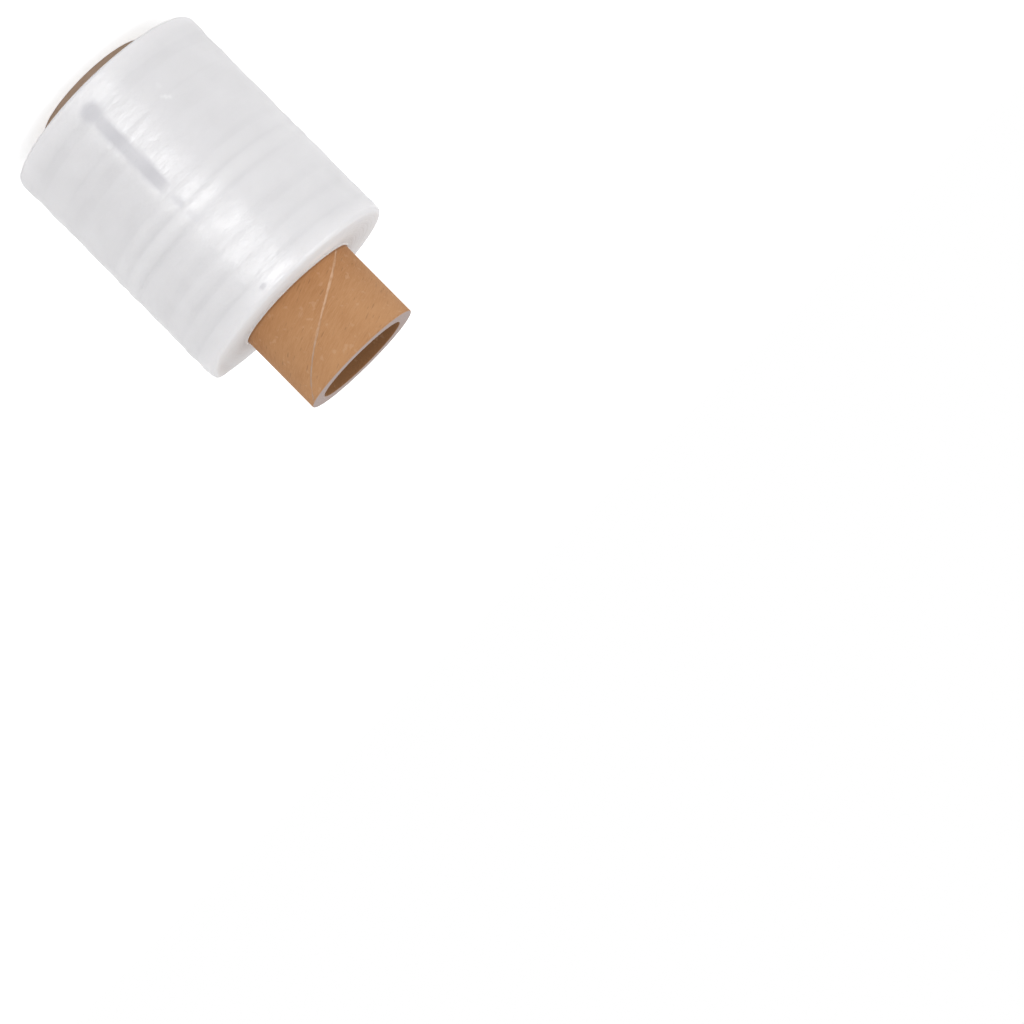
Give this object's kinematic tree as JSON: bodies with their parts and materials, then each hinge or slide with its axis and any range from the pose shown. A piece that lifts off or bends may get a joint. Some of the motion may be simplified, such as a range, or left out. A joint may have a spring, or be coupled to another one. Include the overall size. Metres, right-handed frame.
{
  "type": "stretch wrap roll",
  "caption": "Hand roll of clear stretch film wound on a spiral paper core that stands out beyond the film, a little at the foot and further at the top as a grip.",
  "frame": {"origin": "on the axis, at the level of the core's short end, on which the roll stands", "axes": "+Z along the axis, from the core's short end to its long end; -Y is the side that faces the viewer"},
  "size_m": [0.0866, 0.0866, 0.1405],
  "materials": {
    "core_board": "brown kraft board, matt, with a spiral seam",
    "stretch_film": "many turns of clear film, milky white with a soft gloss"
  },
  "bodies": {
    "root": {"core_tube": "core_board", "film_roll": "stretch_film"}
  },
  "joints": []
}
